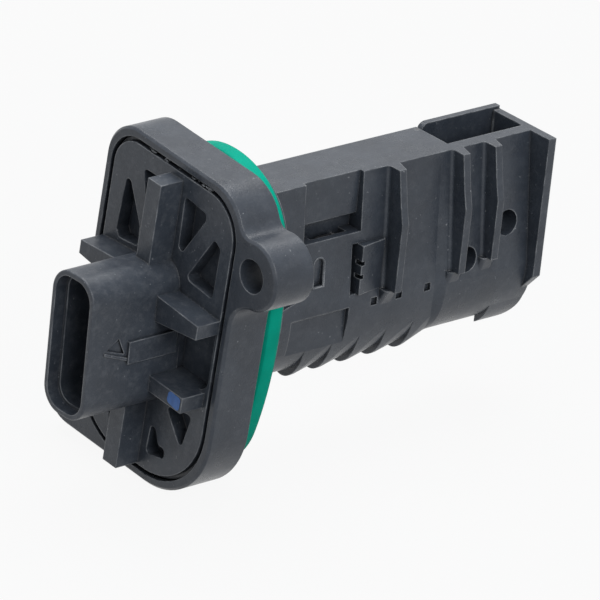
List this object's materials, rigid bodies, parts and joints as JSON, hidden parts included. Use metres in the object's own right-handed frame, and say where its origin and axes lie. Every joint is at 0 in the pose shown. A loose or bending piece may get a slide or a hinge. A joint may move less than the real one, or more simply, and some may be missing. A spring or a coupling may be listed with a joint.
{
  "type": "mass airflow sensor",
  "caption": "Plug-in mass airflow sensor: flange with keyed connector, green oval seal and a finned probe with a bypass air channel and inner electronics.",
  "frame": {"origin": "centre of the flange's rear mounting face, where the seal's gland leaves it", "axes": "+X into the duct along the probe, +Z to the flat outlet side of the probe, +Y to the covers on its back; the flange is turned 4.5 degrees about +X"},
  "size_m": [0.0915, 0.0502, 0.0558],
  "materials": {
    "housing_plastic": "satin, fine moulded grain",
    "connector_plastic": "satin with matte floors",
    "seal_rubber": "satin",
    "blue_paint": "brushed paint",
    "cover_plastic": "satin, fine moulded grain",
    "terminal_metal": "tin plated",
    "aluminium": "rolled",
    "board": "lacquered",
    "ceramic": "unglazed",
    "silicon": "polished",
    "component_black": "moulded",
    "component_tan": "fired",
    "adhesive": "cured",
    "gel": "clear soft gel",
    "epoxy": "dipped",
    "lead_metal": "tinned wire",
    "ribbon_metal": "soft foil"
  },
  "bodies": {
    "root": {"housing": "housing_plastic", "connector_plate": "connector_plastic", "seal_ring": "seal_rubber", "paint_mark": "blue_paint", "electronics_cover": "cover_plastic", "bypass_cover": "cover_plastic", "electronics_seal": "adhesive", "channel_seal": "adhesive", "carrier_plate": "aluminium", "circuit_board": "board", "sensor_arm": "ceramic", "sensor_chip": "silicon", "thermistor": "epoxy", "bond_ribbons": "ribbon_metal", "control_chip": "component_black", "capacitor_1": "component_tan", "capacitor_2": "component_tan", "resistor": "component_black", "thermistor_lead_1": "lead_metal", "thermistor_lead_2": "lead_metal", "silicone_gel": "gel", "terminal_1": "terminal_metal", "terminal_2": "terminal_metal", "terminal_3": "terminal_metal", "terminal_4": "terminal_metal", "terminal_5": "terminal_metal"}
  },
  "joints": []
}
